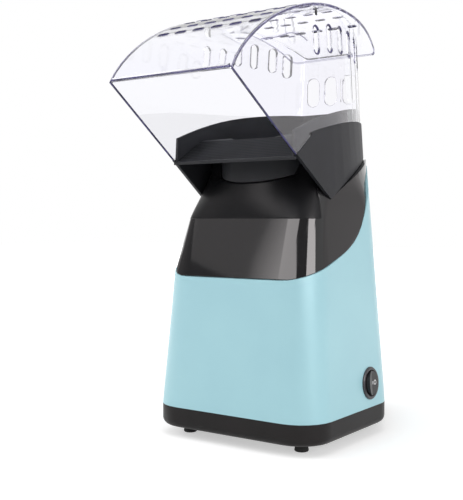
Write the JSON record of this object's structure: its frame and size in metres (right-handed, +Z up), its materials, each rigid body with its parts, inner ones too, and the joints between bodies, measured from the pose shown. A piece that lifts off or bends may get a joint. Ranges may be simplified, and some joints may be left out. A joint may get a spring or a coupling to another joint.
{
  "type": "hot-air popcorn popper",
  "caption": "Hot-air popcorn popper with a clear front-opening hood on a dark chute, a tapered housing with a round rocker switch, and a fan, motor and heater inside.",
  "frame": {"origin": "bottom centre of the bounding box, on the plane the feet stand on", "axes": "+Z up, -Y to the front where the hood opens, +X to the operator's right, the side with the switch"},
  "size_m": [0.1434, 0.2462, 0.3101],
  "materials": {
    "dark_plastic": "fine moulded grain, dark charcoal",
    "foot_rubber": "matt black rubber",
    "blue_plastic": "smooth satin gloss, pale aqua",
    "cowl_plastic": "polished dark grey",
    "chute_plastic": "fine matt grain, dark grey",
    "clear_plastic": "clear polished plastic",
    "chamber_aluminium": "spun aluminium",
    "silicone": "heat-proof silicone",
    "duct_steel": "galvanised sheet",
    "mica": "mica board",
    "heater_wire": "resistance wire",
    "ceramic": "ceramic and pressed brass",
    "bronze": "plain bronze and brass",
    "shaft_steel": "ground steel",
    "core_steel": "varnished laminations and windings",
    "board_green": "solder-masked board",
    "switch_plastic": "polished black"
  },
  "bodies": {
    "base": {"base_tray": "dark_plastic", "foot_front_left": "foot_rubber", "foot_front_right": "foot_rubber", "foot_rear_left": "foot_rubber", "foot_rear_right": "foot_rubber", "housing_shell": "blue_plastic", "cowl": "cowl_plastic", "popping_chamber": "chamber_aluminium", "chamber_seal": "silicone", "heat_duct": "duct_steel", "mica_board_a": "mica", "mica_board_b": "mica", "heater_coil": "heater_wire", "thermal_cutoff": "ceramic", "thermal_fuse": "ceramic", "fan_deck": "duct_steel", "motor_can": "duct_steel", "motor_endcap": "dark_plastic", "bearing_upper": "bronze", "bearing_lower": "bronze", "rectifier_board": "board_green", "switch_bezel": "switch_plastic", "switch_terminals": "bronze", "cord_inlet": "dark_plastic", "base_screws": "shaft_steel", "deck_screws": "shaft_steel"},
    "cover": {"chute": "chute_plastic", "hood_walls": "clear_plastic", "hood_roof": "clear_plastic"},
    "rotor": {"motor_shaft": "shaft_steel", "armature": "core_steel", "fan": "dark_plastic"},
    "switch_rocker": {"rocker": "switch_plastic"}
  },
  "joints": [
    {"name": "cover_lift", "type": "slide", "parent": "base", "child": "cover", "axis": [0, 0, 1], "range_m": [0, 0.06]},
    {"name": "rotor_spin", "type": "hinge", "parent": "base", "child": "rotor", "pos_m": [0, 0.008, 0.05], "axis": [0, 0, 1], "continuous": true},
    {"name": "rocker_tilt", "type": "hinge", "parent": "base", "child": "switch_rocker", "pos_m": [0.06772, 0.0235, 0.03972], "axis": [-0.0669, 0, 0.9978], "range_deg": [-18, 0]}
  ]
}
